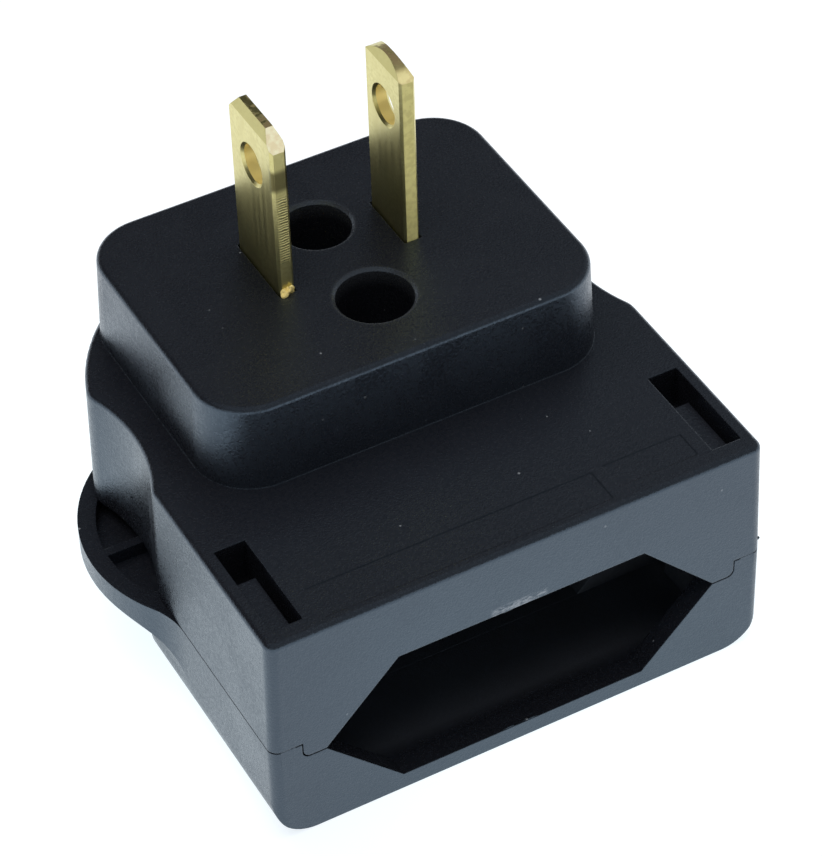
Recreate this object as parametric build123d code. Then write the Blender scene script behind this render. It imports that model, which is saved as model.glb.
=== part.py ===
from build123d import *
import math
import os

# Sizes in millimetres. X runs along the mouth, Y to the back, Z up to the blade tips.
# The origin lies on the bottom, under the middle of the case.

# Case
case_width = 48.2
case_depth = 46.65
body_height = 12.65
side_draft = 1.5
wall = 2.0
roof = 2.2
floor = 1.8
seam_gap = 0.12
corner_round = 1.0
top_round = 0.5
bottom_round = 3.8
stand_rise = 0.1
stand_width = 30.0
stand_depth = 34.0
cut_margin = 1.0
running_gap = 0.1

# Plan of the case: a waist for the fingers and a rounded back
waist_inset = 1.67
waist_radius = 15.97
waist_ahead = 4.3
waist_round = 2.6
lobe_radius = 19.43
lobe_overshoot = 0.37
lobe_to_back = 16.81
back_round = 6.0

# Mouth for the plug, an elongated hexagon
mouth_width = 38.2
mouth_flat = 23.9
mouth_height = 14.7
mouth_lip = 0.02
cradle_from_front = 11.0
cradle_thickness = 1.6
step_height = 1.68
step_inset = 2.8
step_gap = 0.22
step_round = 0.7
pad_inset = 0.8
pad_width = 1.4
pad_gap = 0.02

# Boss under the blades
boss_width = 38.8
boss_depth = 28.8
boss_height = 8.65
boss_ahead = 2.0
boss_corner = 5.6
boss_draft = 2.7
boss_wall = 2.4
boss_roof = 2.6
boss_edge = 0.5

# Blades
blade_pitch = 12.7
blade_to_back = 13.55
blade_thickness = 1.5
wide_blade_width = 7.9
narrow_blade_width = 6.35
wide_blade_length = 17.1
narrow_blade_length = 18.35
hole_from_tip = 5.4
hole_diameter = 3.6
hole_rim = 0.25
tip_bevel_height = 1.05
tip_bevel_depth = 0.4
tip_corner_across = 1.5
tip_corner_down = 1.8
tip_dome = 1.25
blade_edge = 0.25
foot_margin = 2.9
foot_bend = 1.2

# Clips for the round pins
pin_pitch = 18.6
pin_diameter = 4.0
pin_clearance = 0.25
clip_thickness = 0.6
clip_length = 17.2
clip_half = 2.6
clip_reach = 2.4
clip_rise = 3.83
clip_pinch = 0.3
clip_fold = 0.5
rivet_diameter = 1.8
rivet_head_diameter = 2.8
rivet_head_height = 0.7
rivet_tail_diameter = 2.5
rivet_tail_height = 0.5

# Carrier of the clips
carrier_ahead = 13.0
carrier_floor = 0.8
carrier_front_wall = 1.6
carrier_side_wall = 1.5
carrier_back_wall = 1.2
carrier_corner = 1.5
clip_end_gap = 0.25
clip_floor_gap = 0.57
press_rib = 1.6
press_rib_spread = 6.2
press_rib_length = 3.8

# Screws
front_screw_ahead = 7.95
back_screw_behind = 2.9
front_bore_diameter = 6.9
back_bore_diameter = 6.3
bore_rim = 0.25
tower_wall = 1.5
seat_below_top = 3.5
shank_diameter = 2.9
shank_clearance = 0.2
head_diameter = 5.4
head_height = 1.9
slot_width = 0.8
slot_depth = 0.9
carrier_thread = 6.0
insert_diameter = 4.4
insert_length = 2.8
post_wall = 1.3

# Latches at the front corners
window_rim = 1.57
window_width = 2.9
window_from_front = 1.8
window_length = 10.44
hook_width = 7.5
hook_stem = 1.9
hook_barb = 0.35
hook_slope = 0.6
hook_drop = 1.7
ledge_below_top = 4.5
chute_wall = 1.0

# Finger ears of the lid
ear_reach = 3.35
ear_radius = 14.1
ear_ahead = 5.0
ear_blend = 7.0
ear_cove = 3.9
ear_thickness = 2.35
pocket_rim = 1.65
pocket_depth = 1.5
pocket_tuck = 0.43
pocket_front = 5.8
pocket_back = 8.1
pocket_rib = 0.85
relief_width = 1.9
relief_height = 3.6
relief_depth = 0.8
relief_ahead = 8.9

# Places worked out from the sizes above
front = -case_depth / 2
back = case_depth / 2
half = case_width / 2
mouth_z = floor + mouth_lip + mouth_height / 2
seam_z = mouth_z + step_height
top_z = seam_z + body_height
boss_top_z = top_z + boss_height
seat_z = top_z - seat_below_top
ledge_z = top_z - ledge_below_top
blade_x = blade_pitch / 2
blade_y = back - blade_to_back
boss_y = blade_y - boss_ahead
front_screw_y = blade_y - front_screw_ahead
back_screw_y = blade_y + back_screw_behind
waist_x = half - waist_inset
waist_y = blade_y - waist_ahead
lobe_x = half + lobe_overshoot - lobe_radius
lobe_y = back - lobe_to_back
ear_y = blade_y - ear_ahead
pin_x = pin_pitch / 2
foot_z = mouth_z + clip_rise
channel_half = clip_half + clip_thickness / 2 + running_gap
channel_floor_z = mouth_z - clip_reach - clip_floor_gap
carrier_y = blade_y - carrier_ahead
carrier_z = channel_floor_z - carrier_floor
clip_y = carrier_y + carrier_front_wall + clip_end_gap
window_outer = half - window_rim
hook_outer = window_outer - running_gap - hook_barb
insert_top_z = carrier_z - running_gap
spill = 6.0
beyond = 100.0


def box(x0, x1, y0, y1, z0, z1):
    """Block between two corners."""
    centre = Pos((x0 + x1) / 2, (y0 + y1) / 2, (z0 + z1) / 2)
    return centre * Box(x1 - x0, y1 - y0, z1 - z0)


def rod(x, y, z0, z1, diameter):
    """Upright cylinder."""
    return Pos(x, y, (z0 + z1) / 2) * Cylinder(diameter / 2, z1 - z0)


def both(shape):
    """A shape with its mirror image across the middle plane."""
    return shape + mirror(shape, Plane.YZ)


def full_plan():
    """Plan of the lid, carried past the front so that the front face can be cut flat."""
    start = front - spill
    plan = Pos(0, (back + start) / 2) * Rectangle(case_width, back - start)
    ahead = Pos(0, (lobe_y + start) / 2) * Rectangle(case_width, lobe_y - start)
    lobes = both(Pos(lobe_x, lobe_y) * Circle(lobe_radius))
    middle = Pos(0, lobe_y) * Rectangle(2 * lobe_x, 2 * lobe_radius)
    plan = plan & (ahead + lobes + middle)
    rear = [v for v in plan.vertices() if v.Y > back - 0.01]
    return fillet(rear, back_round)


def body_plan():
    """Plan of the upper body at the seam, waisted at the sides."""
    centre = Vector(waist_x + waist_radius, waist_y)
    plan = full_plan() - both(Pos(centre) * Circle(waist_radius))
    ends = [
        v for v in plan.vertices()
        if abs((Vector(abs(v.X), v.Y) - centre).length - waist_radius) < 0.01
    ]
    return fillet(ends, waist_round)


def ear_plan():
    """Plan of the lid with its finger ears, blended into the sides at the front."""
    ear = Pos(half + ear_reach - ear_radius, ear_y) * Circle(ear_radius)
    plan = full_plan() + both(ear)
    ends = [v for v in plan.vertices() if abs(abs(v.X) - half) < 0.01 and front < v.Y < ear_y]
    return fillet(ends, ear_blend)


def mouth(depth):
    """Hexagonal prism of the plug's mouth, from the front face backwards."""
    a = mouth_width / 2
    b = mouth_flat / 2
    h = mouth_height / 2
    points = [(-a, 0), (-b, h), (b, h), (a, 0), (b, -h), (-b, -h)]
    hexagon = Plane.XZ * make_face(Polyline(*points, close=True))
    return Pos(0, front + depth, mouth_z) * extrude(hexagon, depth + cut_margin)


def ahead_of(y):
    """Everything in front of a plane across the case."""
    return box(-beyond, beyond, y - beyond, y, -beyond, beyond)


def round_front(shape):
    """Rounds the upright outer edges of the upper body's front face."""
    edges = [
        e for e in shape.edges()
        if abs(e.center().Y - front) < 0.01
        and seam_z + 1 < e.center().Z < top_z - 1
        and abs(e.center().X) > half - wall
    ]
    return fillet(edges, corner_round)


def hollow(z0, z1):
    """Inside of the case between two heights."""
    inside = Pos(0, 0, z0) * extrude(offset(body_plan(), -wall), z1 - z0)
    return inside - ahead_of(front + wall)


def boss_block(shrink, z0, z1):
    """Rounded block of the boss, narrowing upwards."""
    plan = RectangleRounded(boss_width - 2 * shrink, boss_depth - 2 * shrink, boss_corner - shrink)
    return Pos(0, boss_y, z0) * extrude(plan, z1 - z0, taper=boss_draft)


def case_block():
    """Upper body before it is hollowed."""
    low = seam_z + seam_gap / 2
    plan = body_plan()
    roof_plan = offset(plan, (low - top_z) * math.tan(math.radians(side_draft)))
    block = loft([Pos(0, 0, low) * plan.face(), Pos(0, 0, top_z) * roof_plan.face()], ruled=True)
    block = round_front(block - ahead_of(front))
    block = fillet([e for e in block.edges() if e.center().Z > top_z - 0.01], top_round)
    boss = boss_block(0, top_z - roof / 2, boss_top_z)
    return block + fillet([e for e in boss.edges() if e.center().Z > boss_top_z - 0.01], boss_edge)


def cradle(cavity):
    """Rib of the upper body that carries the middle of the plug."""
    y0 = front + cradle_from_front
    rib = box(-half, half, y0, y0 + cradle_thickness, seam_z + seam_gap, top_z - roof / 2)
    return (rib & cavity) - mouth(case_depth)


def stop_wall(cavity):
    """Wall above the carrier that stops the plug."""
    rib = box(-half, half, carrier_y, carrier_y + cradle_thickness, foot_z + running_gap, top_z - roof / 2)
    return rib & cavity


def press_ribs():
    """Ribs that hold the blade feet down on the clips."""
    high = boss_top_z - boss_roof / 2
    low = foot_z + blade_thickness + running_gap / 2
    x0 = pin_x + foot_margin - running_gap - press_rib_length
    rib = box(x0, x0 + press_rib_length, -press_rib / 2, press_rib / 2, low, high)
    ribs = [Pos(0, blade_y + side * press_rib_spread / 2) * rib for side in (-1, 1)]
    return both(ribs[0] + ribs[1])


def screw_tower(y, diameter):
    """Tower from the boss roof down to the carrier."""
    return rod(0, y, foot_z + running_gap / 2, boss_top_z - boss_roof / 2, diameter + 2 * tower_wall)


def screw_bore(y, diameter):
    """Counterbore and shank hole of one boss screw."""
    bore = rod(0, y, seat_z, boss_top_z + cut_margin, diameter)
    return bore + rod(0, y, mouth_z, seat_z + cut_margin, shank_diameter + 2 * shank_clearance)


def blade_slot(x, width):
    """Slot in the boss roof for one blade."""
    t = blade_thickness / 2 + running_gap
    w = width / 2 + running_gap
    low = boss_top_z - boss_roof - cut_margin
    return box(x - t, x + t, blade_y - w, blade_y + w, low, boss_top_z + cut_margin)


def latch_window():
    """Latch window on the right, with the ledge that the hook catches."""
    inner = window_outer - window_width
    y0 = front + window_from_front
    y1 = y0 + window_length
    upper = box(inner, window_outer, y0, y1, ledge_z, top_z + cut_margin)
    return upper + box(inner, hook_outer + running_gap, y0, y1, mouth_z, ledge_z + running_gap)


def latch_chutes(cavity):
    """Walls that close both latch windows off from the plug's space."""
    inner = window_outer - window_width - chute_wall
    end = front + window_from_front + window_length + chute_wall
    chute = box(inner, half, front, end, seam_z + seam_gap, top_z - roof / 2)
    return both(chute) & cavity


def front_step(gap):
    """Middle of the front wall that reaches down to the mouth's centre plane."""
    low = mouth_z + seam_gap / 2
    high = seam_z + cut_margin
    plate = Pos(0, (low + high) / 2) * Rectangle(2 * (half - step_inset - gap), high - low)
    plate = fillet([v for v in plate.vertices() if v.Y < low + 0.01], step_round)
    return Pos(0, front + wall, 0) * extrude(Plane.XZ * plate, wall)


def upper_body():
    """Upper half of the case with the boss."""
    cavity = hollow(mouth_z, top_z - roof)
    body = case_block() + front_step(step_gap / 2)
    body = body - cavity - boss_block(boss_wall, top_z - roof - cut_margin, boss_top_z - boss_roof)
    body = body + cradle(cavity) + stop_wall(cavity) + press_ribs() + latch_chutes(cavity)
    for y, diameter in ((front_screw_y, front_bore_diameter), (back_screw_y, back_bore_diameter)):
        body = body + screw_tower(y, diameter) - screw_bore(y, diameter)
    body = body - blade_slot(-blade_x, wide_blade_width) - blade_slot(blade_x, narrow_blade_width)
    body = body - both(latch_window()) - mouth(wall)
    rims = [
        e for e in body.edges().filter_by(GeomType.CIRCLE)
        if abs(e.center().Z - boss_top_z) < 0.01 and abs(e.arc_center.X) < 0.01
    ]
    return chamfer(rims, bore_rim)


def cove():
    """Cut that rounds the underside of the right ear into the side wall."""
    top = seam_z - ear_thickness
    out = half + ear_cove
    low = top - ear_cove
    middle = (out - ear_cove * math.cos(math.pi / 4), low + ear_cove * math.sin(math.pi / 4))
    arc = ThreePointArc((half, low), middle, (out, top))
    far = out + cut_margin
    rest = Polyline((out, top), (far, top), (far, low - cut_margin), (half, low - cut_margin), (half, low))
    section = Plane.XZ * make_face(arc + rest)
    return Pos(0, back + cut_margin, 0) * extrude(section, case_depth + 2 * cut_margin)


def ears():
    """Both finger ears as solids with coved undersides."""
    low = seam_z - ear_thickness - ear_cove
    block = Pos(0, 0, low) * extrude(ear_plan(), seam_z - seam_gap / 2 - low)
    return block - both(cove()) - ahead_of(front)


def ear_pockets():
    """Pockets in the top of the ears, each split by a rib."""
    low = seam_z - pocket_depth
    strip = box(waist_x - pocket_tuck, beyond, ear_y - pocket_front, ear_y + pocket_back, low, seam_z)
    sunk = Pos(0, 0, low) * extrude(offset(ear_plan(), -pocket_rim), pocket_depth)
    rib = box(0, beyond, waist_y - pocket_rib / 2, waist_y + pocket_rib / 2, low, seam_z)
    return both((strip & sunk) - rib)


def front_pads():
    """Small pads that close the seam beside the front step."""
    outer = half - pad_inset
    high = seam_z + seam_gap / 2 - pad_gap
    return both(box(outer - pad_width, outer, front, front + wall, mouth_z, high))


def standing_field():
    """Flat raised field under the lid, on which the adapter stands."""
    x = stand_width / 2
    y = stand_depth / 2
    return box(-x, x, -y, y, 0, floor / 2)


def lid_tub():
    """Lid with rounded bottom edges and finger ears, before it is hollowed."""
    height = seam_z - seam_gap / 2
    block = Pos(0, 0, stand_rise) * extrude(full_plan(), height - stand_rise)
    low_edges = [e for e in block.edges() if e.center().Z < stand_rise + 0.01]
    rim = [e for e in low_edges if e.center().Y > front - spill + 0.01]
    block = fillet(rim, bottom_round) - ahead_of(front) + ears()
    outline = ear_plan() - Pos(0, front - spill) * Rectangle(beyond, 2 * spill)
    outline = fillet([v for v in outline.vertices() if v.Y < front + 0.01], corner_round)
    return (block & extrude(outline, height)) + front_pads() + standing_field()


def lid_cradle(cavity):
    """Rib of the lid under the middle of the plug."""
    y0 = front + cradle_from_front
    rib = box(-half, half, y0, y0 + cradle_thickness, 0, mouth_z - seam_gap)
    return (rib & cavity) - mouth(case_depth)


def hook():
    """Latch hook on the right, rising from the lid's side wall."""
    y0 = front + window_from_front + running_gap
    inner = hook_outer - hook_stem
    nose = hook_outer + hook_barb
    catch = ledge_z + running_gap
    top = top_z - hook_drop
    root = half - wall / 2
    root_z = mouth_z - seam_gap
    profile = [
        (inner, floor / 2), (inner, top), (hook_outer, top), (nose, top - hook_slope), (nose, catch),
        (hook_outer, catch), (hook_outer, root_z), (root, root_z), (root, floor / 2),
    ]
    section = Plane.XZ * make_face(Polyline(*profile, close=True))
    return Pos(0, y0 + hook_width, 0) * extrude(section, hook_width)


def relief():
    """Small relief slot in the side wall below the right ear."""
    y0 = blade_y - relief_ahead
    high = seam_z - ear_thickness - ear_cove
    return box(half - relief_depth, half + cut_margin, y0, y0 + relief_width, high - relief_height, high)


def lid():
    """Lower half of the case."""
    cavity = hollow(floor, seam_z)
    tub = lid_tub() - cavity + lid_cradle(cavity) + both(hook())
    tub = tub - Pos(0, 0, -seam_gap) * front_step(0) - mouth(wall)
    tub = tub - ear_pockets() - both(relief())
    tub = tub + rod(0, back_screw_y, floor / 2, insert_top_z, insert_diameter + 2 * post_wall)
    return tub - rod(0, back_screw_y, insert_top_z - insert_length, insert_top_z, insert_diameter)


def clipped_outline(w, tip_z):
    """Broad side of the wide blade, with the corners of its tip cut off."""
    low = tip_z - tip_corner_down
    flat = w - tip_corner_across
    points = [(-w, foot_z), (-w, low), (-flat, tip_z), (flat, tip_z), (w, low), (w, foot_z)]
    return make_face(Polyline(*points, close=True))


def domed_outline(w, tip_z):
    """Broad side of the narrow blade, with a domed tip."""
    low = tip_z - tip_dome
    dome = ThreePointArc((-w, low), (0, tip_z), (w, low))
    return make_face(dome + Polyline((w, low), (w, foot_z), (-w, foot_z), (-w, low)))


def blade(side, width, length, outline):
    """Flat blade with a bevelled tip, a hole and a foot bent outwards inside the case."""
    tip_z = boss_top_z + length
    w = width / 2
    t = blade_thickness / 2
    narrow = [
        (-t, foot_z), (-t, tip_z - tip_bevel_height), (-t + tip_bevel_depth, tip_z),
        (t - tip_bevel_depth, tip_z), (t, tip_z - tip_bevel_height), (t, foot_z),
    ]
    section = chamfer(Rectangle(blade_thickness, width).vertices(), blade_edge)
    leg = Pos(0, 0, foot_z) * extrude(section, tip_z - foot_z)
    leg = leg & extrude(Plane.YZ * outline(w, tip_z), t, both=True)
    leg = leg & extrude(Plane.XZ * make_face(Polyline(*narrow, close=True)), w, both=True)
    reach = pin_x + foot_margin - blade_x
    leg = leg + box(-t, reach, -w, w, foot_z, foot_z + blade_thickness)
    bend = [e for e in leg.edges().filter_by(Axis.Y) if e.center().X < 0 and e.center().Z < foot_z + 0.01]
    leg = fillet(bend, foot_bend)
    leg = leg - Pos(0, 0, tip_z - hole_from_tip) * Rot(0, 90, 0) * Cylinder(hole_diameter / 2, beyond)
    rims = [e for e in leg.edges().filter_by(GeomType.CIRCLE) if abs(e.radius - hole_diameter / 2) < 0.01]
    leg = chamfer([e for e in rims if abs(e.arc_center.Z - tip_z + hole_from_tip) < 0.01], hole_rim)
    leg = leg - rod(pin_x - blade_x, 0, mouth_z, boss_top_z, rivet_diameter)
    leg = leg if side > 0 else mirror(leg, Plane.YZ)
    return Pos(side * blade_x, blade_y, 0) * leg


def contact(side):
    """Spring clip folded from strip, open below, for one round pin."""
    top = clip_rise - clip_thickness / 2
    grip = pin_diameter / 2 + clip_thickness / 2 - clip_pinch
    right = [(clip_half, top), (clip_half, clip_reach), (grip, 0), (clip_half, -clip_reach)]
    left = [(-x, z) for x, z in reversed(right)]
    strip = Plane.XZ * trace(FilletPolyline(*left, *right, radius=clip_fold), line_width=clip_thickness)
    clip = Pos(0, clip_y + clip_length, mouth_z) * extrude(strip, clip_length)
    clip = clip - rod(0, blade_y, mouth_z, boss_top_z, rivet_diameter)
    return Pos(side * pin_x, 0, 0) * clip


def rivet(side):
    """Rivet through a blade foot and its clip."""
    low = foot_z - clip_thickness
    high = foot_z + blade_thickness
    head = rod(0, 0, high, high + rivet_head_height, rivet_head_diameter)
    head = chamfer(head.edges().group_by(Axis.Z)[-1], rivet_head_height / 2)
    tail = rod(0, 0, low - rivet_tail_height, low, rivet_tail_diameter)
    return Pos(side * pin_x, blade_y, 0) * (head + rod(0, 0, low, high, rivet_diameter) + tail)


def contact_carrier():
    """Tray that traps the clips, with pin holes in its front wall."""
    w = pin_x + channel_half + carrier_side_wall
    inner = carrier_y + carrier_front_wall
    end = inner + clip_length + 2 * clip_end_gap
    block = box(-w, w, carrier_y, end + carrier_back_wall, carrier_z, foot_z)
    block = fillet(block.edges().filter_by(Axis.Z), carrier_corner)
    channel = box(pin_x - channel_half, pin_x + channel_half, inner, end, channel_floor_z, foot_z)
    pin = Rot(90, 0, 0) * Cylinder(pin_diameter / 2 + pin_clearance, 2 * carrier_front_wall + cut_margin)
    block = block - both(channel) - both(Pos(pin_x, carrier_y, mouth_z) * pin)
    block = block - rod(0, front_screw_y, carrier_z, foot_z, shank_diameter)
    return block - rod(0, back_screw_y, carrier_z, foot_z, shank_diameter + 4 * shank_clearance)


def screw(y, tip_z):
    """Pan-head screw with a straight slot, standing on its seat."""
    top = seat_z + head_height
    head = rod(0, 0, seat_z, top, head_diameter)
    head = chamfer(head.edges().group_by(Axis.Z)[-1], head_height / 3)
    shank = rod(0, 0, tip_z, seat_z, shank_diameter)
    shank = chamfer(shank.edges().group_by(Axis.Z)[0], shank_diameter / 6)
    slot = box(-head_diameter, head_diameter, -slot_width / 2, slot_width / 2, top - slot_depth, top)
    return Pos(0, y, 0) * (head + shank - slot)


def lid_insert():
    """Brass sleeve in the lid's post for the locking screw."""
    low = insert_top_z - insert_length
    sleeve = rod(0, back_screw_y, low, insert_top_z, insert_diameter)
    return sleeve - rod(0, back_screw_y, low, insert_top_z, shank_diameter)


def main():
    os.makedirs("parts", exist_ok=True)
    pieces = {
        "upper_body": upper_body(),
        "lid": lid(),
        "wide_blade": blade(-1, wide_blade_width, wide_blade_length, clipped_outline),
        "narrow_blade": blade(1, narrow_blade_width, narrow_blade_length, domed_outline),
        "left_contact": contact(-1),
        "right_contact": contact(1),
        "left_rivet": rivet(-1),
        "right_rivet": rivet(1),
        "contact_carrier": contact_carrier(),
        "carrier_screw": screw(front_screw_y, foot_z - carrier_thread),
        "locking_screw": screw(back_screw_y, insert_top_z - insert_length + running_gap),
        "lid_insert": lid_insert(),
    }
    for name, shape in pieces.items():
        export_step(shape, f"parts/{name}.step")


main()
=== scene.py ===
import logging
import math
import random
from dataclasses import dataclass
from enum import Enum

import bmesh
import bpy
from mathutils import Matrix, Vector


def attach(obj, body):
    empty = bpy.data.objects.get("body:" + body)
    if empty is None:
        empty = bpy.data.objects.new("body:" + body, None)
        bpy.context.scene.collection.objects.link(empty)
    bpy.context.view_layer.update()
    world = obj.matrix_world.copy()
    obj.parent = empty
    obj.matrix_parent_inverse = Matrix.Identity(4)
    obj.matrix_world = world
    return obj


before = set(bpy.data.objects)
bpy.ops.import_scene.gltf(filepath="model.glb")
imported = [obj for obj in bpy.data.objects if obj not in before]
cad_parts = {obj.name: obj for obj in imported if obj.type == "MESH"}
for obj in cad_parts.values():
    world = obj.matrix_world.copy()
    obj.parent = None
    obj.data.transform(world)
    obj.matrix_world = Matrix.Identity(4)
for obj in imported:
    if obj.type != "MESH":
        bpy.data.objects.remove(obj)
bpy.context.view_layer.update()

log = logging.getLogger("travel_adapter")

MM = 0.001
Socket = bpy.types.NodeSocket
Pair = tuple[float, float]
Triple = tuple[float, float, float]


def metres(point: Triple) -> Triple:
    """Turns millimetres into metres."""
    return tuple(c * MM for c in point)


class Finish(Enum):
    """Names for the finishes of new pieces."""

    CASE = "case"
    BLADE = "blade_brass"


class Port(Enum):
    """Kinds of socket on a node group."""

    VALUE = "NodeSocketFloat"
    VECTOR = "NodeSocketVector"


class Wiring:
    """Lays and joins the nodes of one node tree."""

    def __init__(self, tree: bpy.types.NodeTree) -> None:
        """Keeps the tree that the nodes go into."""
        self.tree = tree

    def node(self, kind: str, **settings: object) -> bpy.types.Node:
        """Adds a node.

        Args:
            kind: name of the node type without its ShaderNode prefix.
            settings: attributes of the node.

        Returns:
            The new node.
        """
        made = self.tree.nodes.new("ShaderNode" + kind)
        for name, value in settings.items():
            setattr(made, name, value)
        return made

    def feed(self, socket: Socket, value: object) -> None:
        """Links a socket to an input, or sets the input to a plain value.

        Args:
            socket: the input.
            value: socket, number, vector or colour.
        """
        if isinstance(value, Socket):
            self.tree.links.new(value, socket)
        else:
            socket.default_value = value

    def math(self, operation: str, *values: object) -> Socket:
        """Adds a Math node.

        Args:
            operation: Blender's name of the operation.
            values: sockets or numbers for its inputs, in order.

        Returns:
            The node's output.
        """
        made = self.node("Math", operation=operation)
        for socket, value in zip(made.inputs, values):
            self.feed(socket, value)
        return made.outputs[0]

    def times(self, first: object, second: object) -> Socket:
        """Multiplies two values."""
        return self.math("MULTIPLY", first, second)

    def plus(self, first: object, second: object) -> Socket:
        """Adds two values."""
        return self.math("ADD", first, second)

    def vector(self, operation: str, *values: object) -> bpy.types.Node:
        """Adds a Vector Math node.

        Args:
            operation: Blender's name of the operation.
            values: sockets or vectors for its inputs, in order.

        Returns:
            The node.
        """
        made = self.node("VectorMath", operation=operation)
        for socket, value in zip(made.inputs, values):
            self.feed(socket, value)
        return made

    def axes(self, vector: Socket) -> bpy.types.NodeOutputs:
        """Parts a vector into its three axes.

        Args:
            vector: the vector.

        Returns:
            The outputs for X, Y and Z.
        """
        made = self.node("SeparateXYZ")
        self.feed(made.inputs[0], vector)
        return made.outputs

    def noise(self, place: Socket, scale: object, detail: float, **others: float) -> Socket:
        """Adds a Noise Texture node.

        Args:
            place: where the noise is read.
            scale: its scale.
            detail: its detail.
            others: its other inputs, by name.

        Returns:
            The noise's value.
        """
        made = self.node("TexNoise")
        for name, value in {"Vector": place, "Scale": scale, "Detail": detail, **others}.items():
            self.feed(made.inputs[name], value)
        return made.outputs["Fac"]

    def span(self, value: Socket, low: float, high: float, start: float = 0.0, end: float = 1.0) -> Socket:
        """Maps a value smoothly from one span to another.

        Args:
            value: the value to map.
            low: value that gives start.
            high: value that gives end.
            start: result at low.
            end: result at high.

        Returns:
            The mapped value.
        """
        made = self.node("MapRange", interpolation_type="SMOOTHSTEP")
        for socket, given in zip(made.inputs, (value, low, high, start, end)):
            self.feed(socket, given)
        return made.outputs[0]

    def blend(self, share: object, first: object, second: object) -> Socket:
        """Mixes two colours.

        Args:
            share: socket or number, 0 for the first colour and 1 for the second.
            first: socket or colour.
            second: socket or colour.

        Returns:
            The mixed colour.
        """
        made = self.node("Mix", data_type="RGBA")
        self.feed(made.inputs["Factor"], share)
        for name, given in (("A", first), ("B", second)):
            socket = [s for s in made.inputs if s.name == name and s.type == "RGBA"][0]
            self.feed(socket, given if isinstance(given, Socket) else (*given, 1.0))
        return [s for s in made.outputs if s.type == "RGBA"][0]

    def effect(self, tree: bpy.types.NodeTree, **inputs: object) -> bpy.types.Node:
        """Places a node group.

        Args:
            tree: the group.
            inputs: values of its inputs, with underscores for spaces.

        Returns:
            The group node.
        """
        made = self.node("Group", node_tree=tree)
        for name, value in inputs.items():
            self.feed(made.inputs[name.replace("_", " ")], value)
        return made


class Effect:
    """A shader node group that is built once and shared by the finishes."""

    title = "effect"
    inputs: dict[str, Port] = {}
    outputs: dict[str, Port] = {}

    def tree(self) -> bpy.types.NodeTree:
        """Gives the group, built at its first use.

        Returns:
            The node group.
        """
        if self.title in bpy.data.node_groups:
            return bpy.data.node_groups[self.title]
        tree = bpy.data.node_groups.new(self.title, "ShaderNodeTree")
        for name, port in self.inputs.items():
            tree.interface.new_socket(name, in_out="INPUT", socket_type=port.value)
        for name, port in self.outputs.items():
            tree.interface.new_socket(name, in_out="OUTPUT", socket_type=port.value)
        enter = tree.nodes.new("NodeGroupInput")
        leave = tree.nodes.new("NodeGroupOutput")
        for name, socket in self.lay(Wiring(tree), enter.outputs).items():
            tree.links.new(socket, leave.inputs[name])
        return tree

    def lay(self, wiring: Wiring, enter: bpy.types.NodeOutputs) -> dict[str, Socket]:
        """Lays the group's nodes and gives the socket for each output."""
        raise NotImplementedError


class SparkGrain(Effect):
    """Fine grain that a spark-eroded mould leaves."""

    title = "spark_grain"
    inputs = {"Place": Port.VECTOR, "Fineness": Port.VALUE}
    outputs = {"Height": Port.VALUE, "Shade": Port.VALUE}
    pit_harshness = 0.6
    pit_span: Pair = (0.25, 0.75)
    mottle_scale = 0.55
    mottle_span: Pair = (0.3, 0.7)

    def lay(self, wiring: Wiring, enter: bpy.types.NodeOutputs) -> dict[str, Socket]:
        """Lays pits over a coarser mottle.

        Args:
            wiring: the group's tree.
            enter: sockets of the group's inputs.

        Returns:
            Height of the grain, and a mottle of its shade.
        """
        pits = wiring.noise(enter["Place"], enter["Fineness"], 2.0, Roughness=self.pit_harshness)
        mottle = wiring.noise(enter["Place"], wiring.times(enter["Fineness"], self.mottle_scale), 3.0)
        return {
            "Height": wiring.span(pits, *self.pit_span),
            "Shade": wiring.span(mottle, *self.mottle_span),
        }


class Handling(Effect):
    """Soft uneven polish from hands and storage."""

    title = "handling"
    inputs = {"Place": Port.VECTOR, "Fineness": Port.VALUE}
    outputs = {"Mask": Port.VALUE}
    swirl = 0.6
    cloud_span: Pair = (0.35, 0.68)

    def lay(self, wiring: Wiring, enter: bpy.types.NodeOutputs) -> dict[str, Socket]:
        """Lays broad clouds, as a mask of the polished places."""
        clouds = wiring.noise(enter["Place"], enter["Fineness"], 4.0, Distortion=self.swirl)
        return {"Mask": wiring.span(clouds, *self.cloud_span)}


class DustSpecks(Effect):
    """Sparse pale specks of dust."""

    title = "dust_specks"
    inputs = {"Place": Port.VECTOR, "Fineness": Port.VALUE, "Size": Port.VALUE, "Share": Port.VALUE}
    outputs = {"Mask": Port.VALUE}
    least_size = 0.4

    def lay(self, wiring: Wiring, enter: bpy.types.NodeOutputs) -> dict[str, Socket]:
        """Keeps a share of the cells of a cell pattern, each with one speck.

        Args:
            wiring: the group's tree.
            enter: sockets of the group's inputs.

        Returns:
            Mask of the specks.
        """
        cells = wiring.node("TexVoronoi")
        wiring.feed(cells.inputs["Vector"], enter["Place"])
        wiring.feed(cells.inputs["Scale"], enter["Fineness"])
        chance = wiring.node("SeparateColor")
        wiring.feed(chance.inputs[0], cells.outputs["Color"])
        kept = wiring.math("LESS_THAN", chance.outputs[0], enter["Share"])
        size = wiring.times(enter["Size"], wiring.plus(chance.outputs[1], self.least_size))
        near = wiring.math("LESS_THAN", cells.outputs["Distance"], size)
        return {"Mask": wiring.times(kept, near)}


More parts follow.
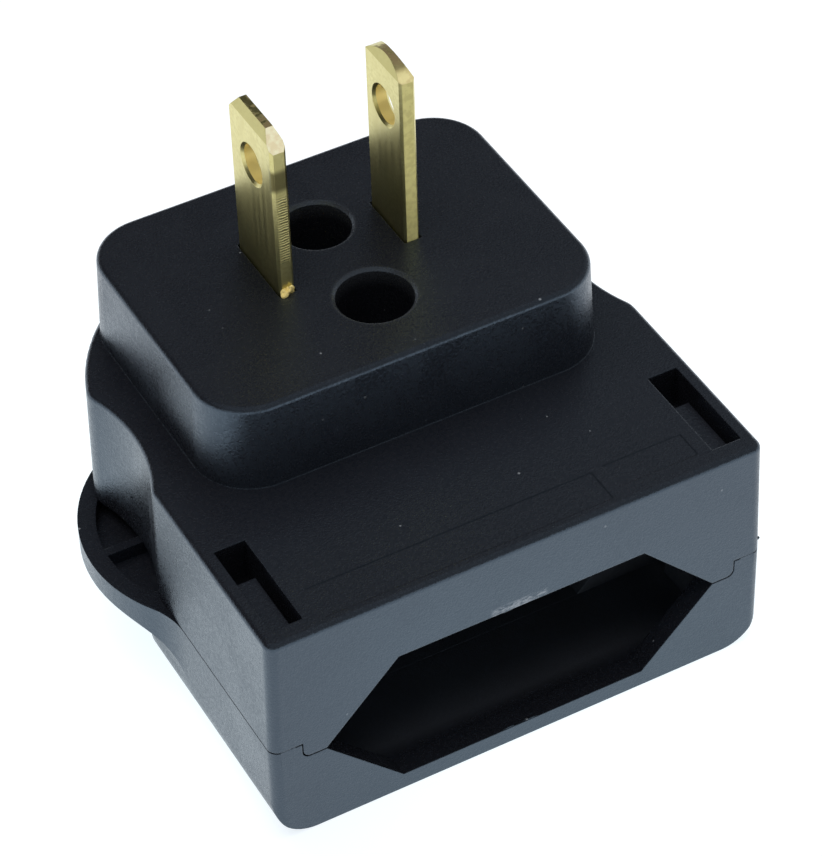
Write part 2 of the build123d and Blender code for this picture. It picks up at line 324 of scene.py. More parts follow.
class EdgeRub(Effect):
    """Edges that are rounded a little and rubbed."""

    title = "edge_rub"
    inputs = {"Radius": Port.VALUE}
    outputs = {"Mask": Port.VALUE, "Normal": Port.VECTOR}
    ray_count = 4
    agree_span: Pair = (0.995, 0.8)

    def lay(self, wiring: Wiring, enter: bpy.types.NodeOutputs) -> dict[str, Socket]:
        """Compares the rounded normal with the face's own.

        Args:
            wiring: the group's tree.
            enter: sockets of the group's inputs.

        Returns:
            Mask of the edges, and the rounded normal.
        """
        rounded = wiring.node("Bevel", samples=self.ray_count)
        wiring.feed(rounded.inputs["Radius"], enter["Radius"])
        own = wiring.node("NewGeometry")
        agree = wiring.vector("DOT_PRODUCT", rounded.outputs["Normal"], own.outputs["Normal"])
        return {
            "Mask": wiring.span(agree.outputs["Value"], *self.agree_span),
            "Normal": rounded.outputs["Normal"],
        }


class DrawnLines(Effect):
    """Fine lines that rolling and drawing leave in metal."""

    title = "drawn_lines"
    inputs = {"Place": Port.VECTOR, "Along": Port.VECTOR}
    outputs = {"Height": Port.VALUE, "Shade": Port.VALUE}
    streak_scale = 0.22
    streak_span: Pair = (0.32, 0.68)

    def lay(self, wiring: Wiring, enter: bpy.types.NodeOutputs) -> dict[str, Socket]:
        """Stretches noise along the drawing direction.

        Args:
            wiring: the group's tree.
            enter: sockets of the group's inputs.

        Returns:
            Height of the lines, and a softer streak of their shade.
        """
        stretched = wiring.vector("MULTIPLY", enter["Place"], enter["Along"]).outputs[0]
        streaks = wiring.noise(stretched, self.streak_scale, 3.0)
        return {
            "Height": wiring.noise(stretched, 1.0, 3.0),
            "Shade": wiring.span(streaks, *self.streak_span),
        }


class Patch(Effect):
    """A rectangular patch of a surface, by its place in the part."""

    title = "patch"
    inputs = {"Place": Port.VECTOR, "Centre": Port.VECTOR, "Half": Port.VECTOR, "Softness": Port.VALUE}
    outputs = {"Inside": Port.VALUE}
    fade: Pair = (0.5, -0.5)

    def lay(self, wiring: Wiring, enter: bpy.types.NodeOutputs) -> dict[str, Socket]:
        """Measures how far a point lies outside a box.

        Args:
            wiring: the group's tree.
            enter: sockets of the group's inputs.

        Returns:
            Mask of the inside.
        """
        away = wiring.vector("SUBTRACT", enter["Place"], enter["Centre"])
        away = wiring.vector("ABSOLUTE", away.outputs[0])
        away = wiring.vector("SUBTRACT", away.outputs[0], enter["Half"])
        across, along, up = wiring.axes(away.outputs[0])
        outside = wiring.math("MAXIMUM", wiring.math("MAXIMUM", across, along), up)
        steps = wiring.math("DIVIDE", outside, enter["Softness"])
        return {"Inside": wiring.span(steps, *self.fade)}

    def mask(self, wiring: Wiring, place: Socket, centre: Triple, half: Triple, softness: float) -> Socket:
        """Places the patch in a material.

        Args:
            wiring: the material's tree.
            place: place in the part, in metres.
            centre: middle of the patch, in millimetres.
            half: half of its sizes, in millimetres.
            softness: width of its faded rim, in millimetres.

        Returns:
            Mask of the inside.
        """
        made = wiring.effect(
            self.tree(), Place=place, Centre=metres(centre), Half=metres(half), Softness=softness * MM,
        )
        return made.outputs["Inside"]


class TornTip(Effect):
    """Metal of a punched blade that is torn or left matt, by its place and the way it faces; its corner
    and bevel masks also place a painted highlight and painted shade.
    """

    title = "torn_tip"
    inputs = {
        "Place": Port.VECTOR, "Tip From": Port.VALUE, "Edge Place": Port.VALUE,
        "Hole Centre": Port.VECTOR, "Hole Radius": Port.VALUE,
    }
    outputs = {
        "Corner": Port.VALUE, "Flat": Port.VALUE, "Bevel": Port.VALUE,
        "Edge": Port.VALUE, "Hole": Port.VALUE, "Crumble": Port.VALUE,
    }
    corner_way: Triple = (0.0, -0.768, 0.640)
    corner_span: Pair = (0.86, 0.98)
    flat_span: Pair = (0.85, 0.97)
    break_scale = 900.0
    break_span: Pair = (0.62, 0.52)
    bevel_over: Pair = (0.2, 0.3)
    bevel_under: Pair = (0.55, 0.45)
    edge_span: Pair = (0.06, 0.02)
    wall_span: Pair = (0.6, 0.4)
    crumble_scale = 1500.0
    crumble_span: Pair = (0.38, 0.62)

    def lay(self, wiring: Wiring, enter: bpy.types.NodeOutputs) -> dict[str, Socket]:
        """Tells the corner, the flat, the bevel, the narrow edge and the hole's wall apart.

        Args:
            wiring: the group's tree.
            enter: sockets of the group's inputs.

        Returns:
            A mask of each, and a crumbled mottle.
        """
        own = wiring.node("NewGeometry").outputs["Normal"]
        sideways, _, upright = wiring.axes(own)
        _, back, height = wiring.axes(enter["Place"])
        at_tip = wiring.math("GREATER_THAN", height, enter["Tip From"])
        facing = wiring.vector("DOT_PRODUCT", own, self.corner_way)
        breaks = wiring.noise(enter["Place"], self.break_scale, 2.0)
        flat = wiring.times(wiring.span(upright, *self.flat_span), at_tip)
        leaning = wiring.span(upright, *self.bevel_over)
        leaning = wiring.times(leaning, wiring.span(upright, *self.bevel_under))
        from_edge = wiring.math("SUBTRACT", back, enter["Edge Place"])
        from_hole = wiring.vector("SUBTRACT", enter["Place"], enter["Hole Centre"])
        from_hole = wiring.vector("MULTIPLY", from_hole.outputs[0], (0.0, 1.0, 1.0))
        from_hole = wiring.vector("LENGTH", from_hole.outputs[0])
        in_hole = wiring.math("LESS_THAN", from_hole.outputs["Value"], enter["Hole Radius"])
        wall = wiring.span(wiring.math("ABSOLUTE", sideways), *self.wall_span)
        crumble = wiring.noise(enter["Place"], self.crumble_scale, 3.0)
        return {
            "Corner": wiring.times(wiring.span(facing.outputs["Value"], *self.corner_span), at_tip),
            "Flat": wiring.times(flat, wiring.span(breaks, *self.break_span)),
            "Bevel": wiring.times(leaning, at_tip),
            "Edge": wiring.span(from_edge, *(step * MM for step in self.edge_span)),
            "Hole": wiring.times(in_hole, wall),
            "Crumble": wiring.span(crumble, *self.crumble_span),
        }


@dataclass(frozen=True)
class InsertField:
    """Bare sunk field that a mould insert leaves in the top face, with painted shade on its back and right
    walls.
    """

    left: float
    right: float
    front: float
    back: float
    level: float = 23.5
    reach: float = 1.0
    depth: float = 0.016
    softness: float = 0.16
    wall: float = 0.07
    # colour of the painted shade on the back and right walls
    wall_painted_shade: Triple = (0.001, 0.001, 0.002)
    wall_matt: float = 0.35

    def area(self, wiring: Wiring, place: Socket, across: Pair, along: Pair) -> Socket:
        """Masks a part of the top face.

        Args:
            wiring: the material's tree.
            place: place in the part, in metres.
            across: its left and right side.
            along: its front and back side.

        Returns:
            Mask of the part.
        """
        centre = (sum(across) / 2, sum(along) / 2, self.level)
        half = ((across[1] - across[0]) / 2, (along[1] - along[0]) / 2, self.reach)
        return Patch().mask(wiring, place, centre, half, self.softness)

    def sunk(self, wiring: Wiring, place: Socket) -> Socket:
        """Masks the field itself."""
        return self.area(wiring, place, (self.left, self.right), (self.front, self.back))

    def shade(self, wiring: Wiring, place: Socket) -> Socket:
        """Masks the back and right walls, where shade is painted.

        Args:
            wiring: the material's tree.
            place: place in the part, in metres.

        Returns:
            Mask of both walls.
        """
        back_wall = (self.back - self.wall, self.back + self.wall)
        side_wall = (self.right - self.wall, self.right + self.wall)
        back = self.area(wiring, place, (self.left, self.right), back_wall)
        side = self.area(wiring, place, side_wall, (self.front, self.back))
        return wiring.math("MAXIMUM", back, side)


@dataclass(frozen=True)
class HoleRim:
    """Painted highlight on the rounded rim of a hole in the boss."""

    centre: Triple
    radius: float
    width: float = 0.55
    # colour of the painted highlight
    tone: Triple = (0.045, 0.049, 0.056)
    share: float = 0.6

    def mask(self, wiring: Wiring, place: Socket) -> Socket:
        """Masks a ring around the hole.

        Args:
            wiring: the material's tree.
            place: place in the part, in metres.

        Returns:
            Mask of the ring, strongest at the hole.
        """
        away = wiring.vector("DISTANCE", place, metres(self.centre)).outputs["Value"]
        ring = wiring.span(away, (self.radius + self.width) * MM, self.radius * MM)
        return wiring.times(ring, self.share)


@dataclass(frozen=True)
class Hollow:
    """Inside of the case, coloured lighter and made matt."""

    centre: Triple = (0.0, -9.4, 10.0)
    half: Triple = (22.0, 10.4, 8.4)
    softness: float = 3.0
    # lighter colour laid over the hollow
    dust: Triple = (0.050, 0.053, 0.062)
    matt: float = 0.4

    def mask(self, wiring: Wiring, place: Socket) -> Socket:
        """Masks the hollow."""
        return Patch().mask(wiring, place, self.centre, self.half, self.softness)


@dataclass(frozen=True)
class Scar:
    """Rough place where plastic broke off at the mould."""

    centre: Triple
    half: Triple
    softness: float = 0.5
    streak: Triple = (1500.0, 2600.0, 3400.0)
    streak_span: Pair = (0.36, 0.66)
    tone: Triple = (0.36, 0.39, 0.43)
    matt: float = 0.3
    depth: float = 0.06

    def mask(self, wiring: Wiring, place: Socket) -> Socket:
        """Breaks the patch up with noise.

        Args:
            wiring: the material's tree.
            place: place in the part, in metres.

        Returns:
            Mask of the scar.
        """
        patch = Patch().mask(wiring, place, self.centre, self.half, self.softness)
        streaks = wiring.noise(wiring.vector("MULTIPLY", place, self.streak).outputs[0], 1.0, 4.0)
        return wiring.times(patch, wiring.span(streaks, *self.streak_span))


@dataclass(frozen=True)
class MouldedPlastic:
    """Moulded plastic with a fine grain, dust and faint handling."""

    title: str
    dark: Triple
    light: Triple
    gloss: float
    matt: float
    grain: float = 5200.0
    grain_depth: float = 0.013
    grain_gloss: float = 0.05
    handling: float = 160.0
    edge_radius: float = 0.14
    edge_polish: float = 0.05
    dust_fineness: float = 520.0
    dust_size: float = 0.05
    dust_share: float = 0.24
    dust_cover: float = 0.5
    dust_tone: Triple = (0.32, 0.34, 0.36)
    index: float = 1.72
    tint: Triple = (0.80, 1.10, 1.42)
    fields: tuple[InsertField, ...] = ()
    scars: tuple[Scar, ...] = ()
    rim_highlights: tuple[HoleRim, ...] = ()
    hollow: Hollow | None = None

    def material(self) -> bpy.types.Material:
        """Builds the material.

        Returns:
            The material.
        """
        made = bpy.data.materials.new(self.title)
        made.use_nodes = True
        wiring = Wiring(made.node_tree)
        shader = made.node_tree.nodes["Principled BSDF"]
        place = wiring.node("TexCoord").outputs["Object"]
        grain = wiring.effect(SparkGrain().tree(), Place=place, Fineness=self.grain)
        hands = wiring.effect(Handling().tree(), Place=place, Fineness=self.handling)
        rub = wiring.effect(EdgeRub().tree(), Radius=self.edge_radius * MM)
        dust = wiring.effect(
            DustSpecks().tree(), Place=place, Fineness=self.dust_fineness,
            Size=self.dust_size, Share=self.dust_share,
        )
        mottle = grain.outputs["Shade"]
        colour = wiring.blend(mottle, self.dark, self.light)
        colour = wiring.blend(wiring.times(dust.outputs["Mask"], self.dust_cover), colour, self.dust_tone)
        rough = wiring.span(hands.outputs["Mask"], 0.0, 1.0, self.matt, self.gloss)
        rough = wiring.plus(rough, wiring.span(mottle, 0.0, 1.0, self.grain_gloss, -self.grain_gloss))
        height = wiring.times(grain.outputs["Height"], self.grain_depth)
        for field in self.fields:
            height = wiring.math("SUBTRACT", height, wiring.times(field.sunk(wiring, place), field.depth))
            shade = field.shade(wiring, place)
            # painted shade: the back and right walls of each field are darkened in colour
            colour = wiring.blend(shade, colour, field.wall_painted_shade)
            rough = wiring.plus(rough, wiring.times(shade, field.wall_matt))
        for rim in self.rim_highlights:
            # painted highlight: a lighter ring around each hole in the boss
            colour = wiring.blend(rim.mask(wiring, place), colour, rim.tone)
        if self.hollow:
            lightened = self.hollow.mask(wiring, place)
            # the hollow's colour is lifted to a lighter tone
            colour = wiring.blend(lightened, colour, self.hollow.dust)
            rough = wiring.plus(rough, wiring.times(lightened, self.hollow.matt))
        for scar in self.scars:
            torn = scar.mask(wiring, place)
            colour = wiring.blend(torn, colour, scar.tone)
            rough = wiring.plus(rough, wiring.times(torn, scar.matt))
            height = wiring.plus(height, wiring.times(torn, wiring.times(mottle, scar.depth)))
        rough = wiring.math("SUBTRACT", rough, wiring.times(rub.outputs["Mask"], self.edge_polish))
        bump = wiring.node("Bump")
        wiring.feed(bump.inputs["Distance"], MM)
        wiring.feed(bump.inputs["Height"], height)
        wiring.feed(bump.inputs["Normal"], rub.outputs["Normal"])
        wiring.feed(shader.inputs["Base Color"], colour)
        wiring.feed(shader.inputs["Roughness"], rough)
        wiring.feed(shader.inputs["IOR"], self.index)
        wiring.feed(shader.inputs["Specular Tint"], (*self.tint, 1.0))
        wiring.feed(shader.inputs["Normal"], bump.outputs["Normal"])
        return made


@dataclass(frozen=True)
class ShearMarks:
    """Marks of the punch on a blade: matt edge, ridges, pressed band, torn tip and drilled hole, with
    painted shade on the ridges, the pressed band and the bevel, and a painted highlight on the corner
    facet.
    """

    edge_place: float
    edge_matt: float
    tip_from: float
    hole: Triple
    # colours of the painted highlight on the corner facet
    corner: Triple
    corner_highlight_pale: Triple
    hole_radius: float = 2.1
    ridge_centre: Triple = (-6.1, 5.825, 39.2)
    ridge_half: Triple = (0.6, 0.4, 3.5)
    ridge_softness: float = 0.8
    ridge_scale: float = 1150.0
    ridge_waver: float = 2.4
    ridge_depth: float = 0.03
    ridge_shade: float = 0.0
    pressed_centre: Triple = (-6.35, 5.825, 44.5)
    pressed_half: Triple = (0.9, 0.4, 1.05)
    pressed_softness: float = 0.7
    # painted shade in the ridge troughs and on the pressed band
    painted_shade_tone: Triple = (0.135, 0.116, 0.049)
    corner_matt: float = 0.92
    flat: Triple = (0.32, 0.25, 0.12)
    flat_matt: float = 0.45
    # colour of the painted shade on the bevel
    bevel: Triple = (0.50, 0.455, 0.19)
    bevel_shade_share: float = 0.75
    edge: Triple = (0.83, 0.76, 0.29)
    edge_pale: Triple = (0.97, 0.90, 0.37)
    drilled: Triple = (1.0, 0.82, 0.30)
    drilled_matt: float = 0.42

    def ridges(self, wiring: Wiring, place: Socket) -> Socket:
        """Lays the ridges.

        Args:
            wiring: the material's tree.
            place: place in the part, in metres.

        Returns:
            Mask of the ridges.
        """
        patch = Patch().mask(wiring, place, self.ridge_centre, self.ridge_half, self.ridge_softness)
        waves = wiring.node("TexWave", wave_type="BANDS", bands_direction="Z")
        wiring.feed(waves.inputs["Vector"], place)
        wiring.feed(waves.inputs["Scale"], self.ridge_scale)
        wiring.feed(waves.inputs["Distortion"], self.ridge_waver)
        wiring.feed(waves.inputs["Detail"], 2.0)
        wiring.feed(waves.inputs["Detail Scale"], 2.0)
        return wiring.times(waves.outputs["Fac"], patch)

    def pressed(self, wiring: Wiring, place: Socket) -> Socket:
        """Masks the band under the tip that the punch pressed smooth, where shade is painted."""
        return Patch().mask(wiring, place, self.pressed_centre, self.pressed_half, self.pressed_softness)

    def tip(self, wiring: Wiring, place: Socket, colour: Socket) -> tuple[Socket, Socket]:
        """Colours the tip, the narrow edge and the hole, with a painted highlight on the corner facet and
        painted shade on the bevel, and finds where the metal is matt.

        Args:
            wiring: the material's tree.
            place: place in the part, in metres.
            colour: colour so far.

        Returns:
            The colour with theirs, and a mask of the matt metal.
        """
        torn = wiring.effect(
            TornTip().tree(), Place=place, Tip_From=self.tip_from * MM, Edge_Place=self.edge_place * MM,
            Hole_Centre=metres(self.hole), Hole_Radius=self.hole_radius * MM,
        )
        corner, flat, bevel, edge, hole, crumble = (torn.outputs[name] for name in TornTip.outputs)
        matt = wiring.times(edge, self.edge_matt)
        # painted shade: the tip's bevel darkened in colour
        colour = wiring.blend(wiring.times(bevel, self.bevel_shade_share), colour, self.bevel)
        colour = wiring.blend(matt, colour, wiring.blend(crumble, self.edge, self.edge_pale))
        # painted highlight: the corner facet lightened in colour and made matt
        colour = wiring.blend(corner, colour, wiring.blend(crumble, self.corner, self.corner_highlight_pale))
        colour = wiring.blend(flat, colour, self.flat)
        colour = wiring.blend(hole, colour, self.drilled)
        for mask, share in ((corner, self.corner_matt), (flat, self.flat_matt), (hole, self.drilled_matt)):
            matt = wiring.math("MAXIMUM", matt, wiring.times(mask, share))
        return colour, matt


@dataclass(frozen=True)
class DrawnMetal:
    """Rolled or drawn metal with fine lines and a little tarnish."""

    title: str
    clean: Triple
    tarnish: Triple
    gloss: float
    matt: float
    along: Triple = (9000.0, 9000.0, 260.0)
    line_depth: float = 0.0008
    grain: float = 5200.0
    grain_share: float = 0.6
    handling: float = 420.0
    edge_radius: float = 0.06
    edge_polish: float = 0.35
    tarnish_share: float = 0.5
    shine: float = 1.0
    matt_rough: float = 0.4
    marks: ShearMarks | None = None

    def material(self) -> bpy.types.Material:
        """Builds the material.

        Returns:
            The material.
        """
        made = bpy.data.materials.new(self.title)
        made.use_nodes = True
        wiring = Wiring(made.node_tree)
        shader = made.node_tree.nodes["Principled BSDF"]
        place = wiring.node("TexCoord").outputs["Object"]
        lines = wiring.effect(DrawnLines().tree(), Place=place, Along=self.along)
        hands = wiring.effect(Handling().tree(), Place=place, Fineness=self.handling)
        rub = wiring.effect(EdgeRub().tree(), Radius=self.edge_radius * MM)
        grain = wiring.effect(SparkGrain().tree(), Place=place, Fineness=self.grain)
        dull = wiring.times(hands.outputs["Mask"], self.tarnish_share)
        dull = wiring.math("MAXIMUM", dull, wiring.times(grain.outputs["Shade"], self.grain_share))
        colour = wiring.blend(dull, self.clean, self.tarnish)
        colour = wiring.blend(wiring.times(rub.outputs["Mask"], self.edge_polish), colour, self.clean)
        rough = wiring.span(lines.outputs["Shade"], 0.0, 1.0, self.gloss, self.matt)
        height = wiring.times(lines.outputs["Height"], self.line_depth)
        pits = wiring.times(grain.outputs["Height"], self.line_depth * self.grain_share)
        height = wiring.plus(height, pits)
        wiring.feed(shader.inputs["Metallic"], self.shine)
        if self.marks and self.marks.ridge_shade:
            ridges = self.marks.ridges(wiring, place)
            height = wiring.plus(height, wiring.times(ridges, self.marks.ridge_depth))
            # painted shade: ridge troughs and the pressed band darkened in colour
            shaded = wiring.times(ridges, self.marks.ridge_shade)
            colour = wiring.blend(shaded, colour, self.marks.painted_shade_tone)
            colour = wiring.blend(self.marks.pressed(wiring, place), colour, self.marks.painted_shade_tone)
        if self.marks:
            colour, matt = self.marks.tip(wiring, place, colour)
            wiring.feed(shader.inputs["Metallic"], wiring.math("SUBTRACT", self.shine, matt))
            rough = wiring.plus(rough, wiring.times(matt, self.matt_rough))
        bump = wiring.node("Bump")
        wiring.feed(bump.inputs["Distance"], MM)
        wiring.feed(bump.inputs["Height"], height)
        wiring.feed(bump.inputs["Normal"], rub.outputs["Normal"])
        wiring.feed(shader.inputs["Base Color"], colour)
        wiring.feed(shader.inputs["Roughness"], rough)
        wiring.feed(shader.inputs["Normal"], bump.outputs["Normal"])
        return made


@dataclass
class Crumb:
    """A small irregular lump, such as flash or a burr, with its sizes in millimetres."""

    title: str
    centre: Triple
    half: Triple
    seed: int
    ripple: float = 0.35
    wave_count: int = 7
    wave_rates: Pair = (2.0, 7.0)
    wave_turn: float = 6.3

    def build(self) -> bpy.types.Object:
        """Builds the lump from a ball that is squeezed and roughened.

        Returns:
            The new object.
        """
        dice = random.Random(self.seed)
        shape = bmesh.new()
        bmesh.ops.create_icosphere(shape, subdivisions=3, radius=1.0)
        waves = []
        for _ in range(self.wave_count):
            axis = Vector((dice.uniform(-1, 1), dice.uniform(-1, 1), dice.uniform(-1, 1))).normalized()
            waves.append((axis, dice.uniform(*self.wave_rates), dice.uniform(0, self.wave_turn)))
        for vert in shape.verts:
            swell = sum(math.sin(vert.co.dot(axis) * rate + phase) for axis, rate, phase in waves)
            swell /= len(waves)
            grown = vert.co * (1.0 + self.ripple * swell * 2.0)
            vert.co = Vector(c * MM + g * h * MM for c, g, h in zip(self.centre, grown, self.half))
        mesh = bpy.data.meshes.new(self.title)
        shape.to_mesh(mesh)
        shape.free()
        for face in mesh.polygons:
            face.use_smooth = True
        made = bpy.data.objects.new(self.title, mesh)
        bpy.context.scene.collection.objects.link(made)
        return made


class Assembly:
    """A set of pieces that are built and dressed together."""

    def dress(self, node: str, material: bpy.types.Material) -> None:
        """Gives a CAD node its material.

        Args:
            node: name of the node.
            material: the finish.
        """
        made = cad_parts[node]
        for slot in made.material_slots:
            slot.material = material
        log.info("%s: dressed as %s", node, material.name)

    def add(self, piece: bpy.types.Object, material: bpy.types.Material, finish: Finish) -> None:
        """Adds a new piece to the part.

        Args:
            piece: the new object.
            material: its finish.
            finish: not used.
        """
        piece.data.materials.append(material)
        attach(piece, "root")
        log.info("%s: built, %d faces", piece.name, len(piece.data.polygons))


@dataclass
class CaseShell(Assembly):
    """Upper body and lid with the marks of their mould, painted shade at their insert fields and painted
    highlights at the hole rims.
    """

    short_field: InsertField = InsertField(left=10.5, right=18.3, front=-21.35, back=-18.5)
    long_field: InsertField = InsertField(left=-18.0, right=9.35, front=-22.3, back=-18.7)
    gate: Scar = Scar(centre=(-0.4, -23.3, 16.8), half=(2.6, 0.3, 0.5))
    back_rim_highlight: HoleRim = HoleRim(centre=(0.0, 12.675, 32.15), radius=3.15)
    front_rim_highlight: HoleRim = HoleRim(centre=(0.0, 1.825, 32.15), radius=3.45)
    mouth: Hollow = Hollow()
    plastic_dark: Triple = (0.0085, 0.0090, 0.0122)
    plastic_light: Triple = (0.0128, 0.0135, 0.0172)
    gloss: float = 0.24
    matt: float = 0.31

    def build(self) -> None:
        """Dresses both mouldings and adds the scraps left on them."""
        tones = (self.plastic_dark, self.plastic_light, self.gloss, self.matt)
        upper = MouldedPlastic(
            "grained_upper_plastic", *tones, fields=(self.short_field, self.long_field),
            scars=(self.gate,), rim_highlights=(self.back_rim_highlight, self.front_rim_highlight), hollow=self.mouth,
        ).material()
        lower = MouldedPlastic("grained_lid_plastic", *tones, hollow=self.mouth).material()
        self.dress("upper_body", upper)
        self.dress("lid", lower)
        scraps = (
            (Crumb("gate_scrap_left", (-1.5, -23.22, 16.52), (0.55, 0.07, 0.12), 3), upper),
            (Crumb("gate_scrap_right", (0.5, -23.22, 16.52), (0.40, 0.07, 0.12), 5), upper),
            (Crumb("flash_speck", (24.0, -22.78, 11.85), (0.16, 0.12, 0.14), 8), upper),
            (Crumb("rim_scrap_left", (-1.4, -23.22, 1.82), (0.55, 0.07, 0.10), 12), lower),
            (Crumb("rim_scrap_right", (0.7, -23.22, 1.83), (0.75, 0.07, 0.10), 14), lower),
        )
        for scrap, material in scraps:
            self.add(scrap.build(), material, Finish.CASE)


@dataclass
class BladePair(Assembly):
    """The two flat blades and the burrs at the foot of the wide one."""

    clean: Triple = (0.78, 0.72, 0.33)
    tarnish: Triple = (0.60, 0.53, 0.20)
    gloss: float = 0.30
    matt: float = 0.35
    shine: float = 0.985
    line_depth: float = 0.0004
    wide_marks: ShearMarks = ShearMarks(
        # ridge_shade sets the painted shade in the ridge troughs
        edge_place=5.825, edge_matt=0.10, tip_from=46.5, hole=(-6.35, 9.775, 43.85), ridge_shade=0.85,
        # corner colours are a painted highlight on the corner facet
        corner=(0.92, 0.81, 0.51), corner_highlight_pale=(1.0, 0.95, 0.66),
    )
    narrow_marks: ShearMarks = ShearMarks(
        edge_place=6.6, edge_matt=0.9, tip_from=47.8, hole=(6.35, 9.775, 45.1),
        # corner colours are a painted highlight on the corner facet
        corner=(0.74, 0.63, 0.29), corner_highlight_pale=(0.86, 0.77, 0.38),
    )
    torn_clean: Triple = (1.0, 0.84, 0.34)
    torn_tarnish: Triple = (0.98, 0.72, 0.22)
    torn_gloss: float = 0.35
    torn_matt: float = 0.45
    torn_shine: float = 0.06
    torn_ripple: float = 0.5

    def build(self) -> None:
        """Dresses the blades and adds the burrs."""
        for node, marks in (("wide_blade", self.wide_marks), ("narrow_blade", self.narrow_marks)):
            brass = DrawnMetal(
                node + "_brass", self.clean, self.tarnish, self.gloss, self.matt,
                shine=self.shine, line_depth=self.line_depth, marks=marks,
            )
            self.dress(node, brass.material())
        torn = DrawnMetal(
            "torn_brass", self.torn_clean, self.torn_tarnish, self.torn_gloss, self.torn_matt,
            shine=self.torn_shine,
        ).material()
        burrs = (
            Crumb("blade_burr", (-6.1, 5.72, 32.55), (0.46, 0.28, 0.48), 21, self.torn_ripple),
            Crumb("blade_burr_chip", (-6.66, 5.66, 32.45), (0.40, 0.26, 0.36), 33, self.torn_ripple),
        )
        for burr in burrs:
            self.add(burr.build(), torn, Finish.BLADE)


@dataclass
class PinContacts(Assembly):
    """Clips for the round pins, their rivets, carrier and insert."""

    clean: Triple = (0.78, 0.62, 0.30)
    tarnish: Triple = (0.52, 0.38, 0.16)
    strip_along: Triple = (9000.0, 260.0, 9000.0)
    turned_along: Triple = (300.0, 300.0, 9000.0)
    carrier_dark: Triple = (0.012, 0.012, 0.013)
    carrier_light: Triple = (0.020, 0.020, 0.021)
    carrier_grain: float = 2600.0

    def build(self) -> None:
        """Dresses the inner pieces."""
        brass = (self.clean, self.tarnish)
        strip = DrawnMetal(
            "spring_strip_brass", *brass, gloss=0.24, matt=0.36, along=self.strip_along,
        ).material()
        turned = DrawnMetal(
            "turned_brass", *brass, gloss=0.20, matt=0.32, along=self.turned_along,
        ).material()
        carrier = MouldedPlastic(
            "satin_carrier_plastic", self.carrier_dark, self.carrier_light, gloss=0.40, matt=0.50,
            grain=self.carrier_grain,
        ).material()
        for node in ("left_contact", "right_contact"):
            self.dress(node, strip)
        for node in ("left_rivet", "right_rivet", "lid_insert"):
            self.dress(node, turned)
        self.dress("contact_carrier", carrier)


@dataclass
class Screws(Assembly):
    """The carrier screw and the locking screw."""

    clean: Triple = (0.56, 0.57, 0.58)
    tarnish: Triple = (0.30, 0.29, 0.27)
    along: Triple = (400.0, 400.0, 9000.0)

    def build(self) -> None:
        """Dresses both screws."""
        steel = DrawnMetal(
            "plated_screw_steel", self.clean, self.tarnish, gloss=0.24, matt=0.38, along=self.along,
        ).material()
        self.dress("carrier_screw", steel)
        self.dress("locking_screw", steel)


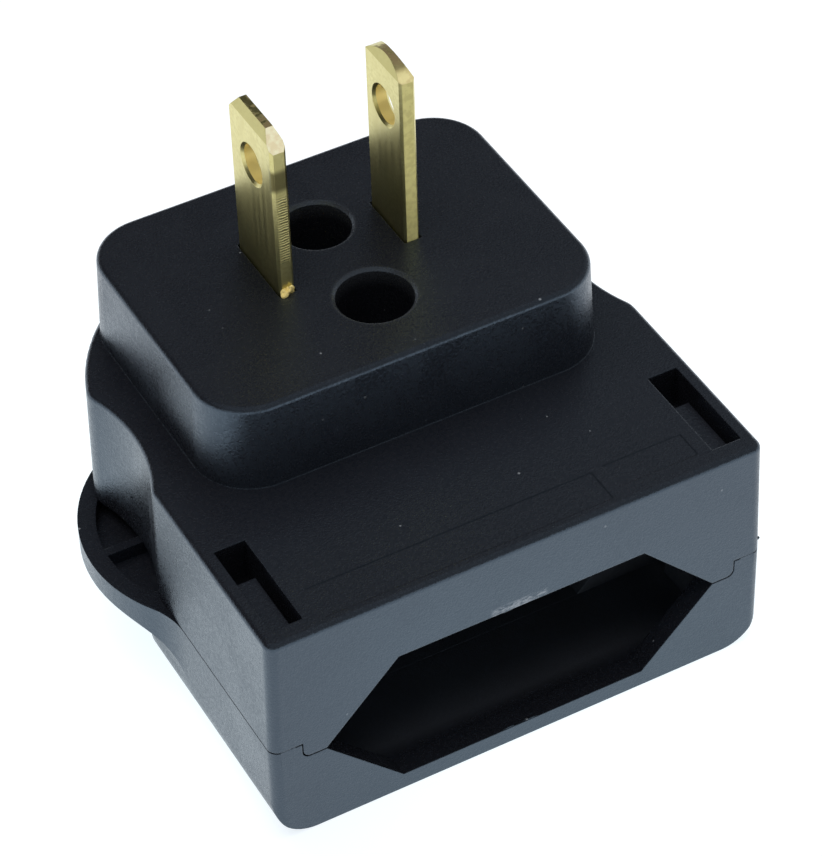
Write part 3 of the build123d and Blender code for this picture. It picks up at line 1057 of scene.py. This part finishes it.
@dataclass
class Studio:
    """White floor, soft light and the camera."""

    floor_radius: float = 3.0
    floor_sides: int = 96
    floor_drop: float = 0.02
    floor_bounce: float = 0.86
    floor_glow: Triple = (0.86, 0.95, 1.0)
    floor_dim: Triple = (0.76, 0.79, 0.83)
    # spots and reaches of the painted pool of light and the painted shadow on the floor
    floor_painted_light_spot: Triple = (-8.0, 4.0, 0.0)
    floor_painted_light_reach: Pair = (62.0, 34.0)
    floor_painted_shadow_spot: Triple = (-30.0, -42.0, 0.0)
    floor_painted_shadow_reach: Pair = (12.0, 32.0)
    floor_paper_tone: float = 0.32
    bright_side: Triple = (0.502, -0.753, 0.425)
    dome_span: Pair = (-0.13, 0.05)
    dome_light: Pair = (0.01, 0.18)
    horizon_span: Pair = (0.24, 0.12)
    horizon_light: float = 0.9
    lamp_place: Triple = (-0.1, 0.1, 1.5)
    lamp_aim: Triple = (0.0, 0.0, 0.02)
    lamp_size: float = 1.8
    lamp_power: float = 24.0
    camera_place: Triple = (-102.8152, -201.9087, 229.6305)
    camera_right: Triple = (0.875612, -0.482311, -0.026056)
    camera_down: Triple = (-0.346188, -0.589039, -0.730197)
    camera_clip: Pair = (0.01, 20.0)
    focal_pixels: float = 3518.905
    frame_height: int = 856

    def build(self) -> None:
        """Sets up the studio."""
        scene = bpy.context.scene
        scene.view_settings.view_transform = "Standard"
        self.floor()
        self.sky(scene)
        self.lamp()
        self.camera(scene)

    def floor(self) -> None:
        """Builds the floor, white to the eye and pale to the light."""
        shape = bmesh.new()
        bmesh.ops.create_circle(shape, cap_ends=True, segments=self.floor_sides, radius=self.floor_radius)
        for vert in shape.verts:
            vert.co.z = -self.floor_drop * MM
        mesh = bpy.data.meshes.new("floor")
        shape.to_mesh(mesh)
        shape.free()
        floor = bpy.data.objects.new("floor", mesh)
        bpy.context.scene.collection.objects.link(floor)
        mesh.materials.append(self.floor_paper())

    def around(self, wiring: Wiring, place: Socket, spot: Triple, reach: Pair) -> Socket:
        """Fades from 0 to 1 between two distances from a spot on the floor."""
        away = wiring.vector("DISTANCE", place, metres(spot)).outputs["Value"]
        return wiring.span(away, *(step * MM for step in reach))

    def floor_paper(self) -> bpy.types.Material:
        """Makes the floor's paper, with a painted pool of light around the part and a painted shadow at
        its front left.

        Returns:
            The material.
        """
        made = bpy.data.materials.new("white_paper")
        made.use_nodes = True
        tree = made.node_tree
        tree.nodes.clear()
        wiring = Wiring(tree)
        path = wiring.node("LightPath")
        seen = wiring.math("MAXIMUM", path.outputs["Is Camera Ray"], path.outputs["Is Glossy Ray"])
        seen = wiring.math("MAXIMUM", seen, path.outputs["Is Transmission Ray"])
        pale, shaded = wiring.node("BsdfDiffuse"), wiring.node("BsdfDiffuse")
        wiring.feed(pale.inputs["Color"], (*[self.floor_bounce] * 3, 1.0))
        wiring.feed(shaded.inputs["Color"], (*[self.floor_paper_tone] * 3, 1.0))
        place = wiring.node("NewGeometry").outputs["Position"]
        # painted pool of light around the part and painted shadow at its front left, in the floor's glow
        near = self.around(wiring, place, self.floor_painted_light_spot, self.floor_painted_light_reach)
        away = self.around(wiring, place, self.floor_painted_shadow_spot, self.floor_painted_shadow_reach)
        glow = wiring.node("Emission")
        tone = wiring.blend(wiring.times(near, away), self.floor_dim, self.floor_glow)
        wiring.feed(glow.inputs["Color"], tone)
        wiring.feed(glow.inputs["Strength"], 1.0)
        white = wiring.node("AddShader")
        wiring.feed(white.inputs[0], shaded.outputs[0])
        wiring.feed(white.inputs[1], glow.outputs[0])
        mixed = wiring.node("MixShader")
        for socket, given in zip(mixed.inputs, (seen, pale.outputs[0], white.outputs[0])):
            wiring.feed(socket, given)
        end = wiring.node("OutputMaterial")
        wiring.feed(end.inputs["Surface"], mixed.outputs[0])
        return made

    def sky(self, scene: bpy.types.Scene) -> None:
        """Sets the light of the room: a pale dome that brightens to one side, over a bright horizon.

        Args:
            scene: the scene.
        """
        world = bpy.data.worlds.new("studio")
        world.use_nodes = True
        scene.world = world
        wiring = Wiring(world.node_tree)
        back = world.node_tree.nodes["Background"]
        way = wiring.node("TexCoord").outputs["Generated"]
        facing = wiring.vector("DOT_PRODUCT", way, self.bright_side)
        dome = wiring.span(facing.outputs["Value"], *self.dome_span, *self.dome_light)
        horizon = wiring.span(wiring.axes(way)[2], *self.horizon_span, 0.0, self.horizon_light)
        light = wiring.math("MAXIMUM", dome, horizon)
        wiring.feed(back.inputs["Color"], wiring.blend(light, (0.0, 0.0, 0.0), (1.0, 1.0, 1.0)))
        wiring.feed(back.inputs["Strength"], 1.0)

    def lamp(self) -> None:
        """Hangs a soft polarised lamp over the part, which leaves no glint."""
        light = bpy.data.lights.new("overhead", "AREA")
        light.shape = "DISK"
        light.size = self.lamp_size
        light.energy = self.lamp_power
        made = bpy.data.objects.new("overhead", light)
        made.location = self.lamp_place
        made.visible_glossy = False
        aim = Vector(self.lamp_aim) - Vector(self.lamp_place)
        made.rotation_euler = aim.to_track_quat("-Z", "Y").to_euler()
        bpy.context.scene.collection.objects.link(made)

    def camera(self, scene: bpy.types.Scene) -> None:
        """Places the camera that was fitted to the photograph.

        Args:
            scene: the scene.
        """
        right = Vector(self.camera_right).normalized()
        up = -Vector(self.camera_down)
        up = (up - right * up.dot(right)).normalized()
        turn = Matrix((right, up, right.cross(up))).transposed().to_4x4()
        data = bpy.data.cameras.new("camera")
        data.lens = data.sensor_width * self.focal_pixels / self.frame_height
        data.clip_start, data.clip_end = self.camera_clip
        made = bpy.data.objects.new("camera", data)
        made.matrix_world = Matrix.Translation(Vector(self.camera_place) * MM) @ turn
        scene.collection.objects.link(made)
        scene.camera = made


def main() -> None:
    """Builds the classes in order."""
    logging.basicConfig(level=logging.INFO, format="%(message)s")
    for part in (CaseShell(), BladePair(), PinContacts(), Screws(), Studio()):
        part.build()


if __name__ == "__main__":
    main()
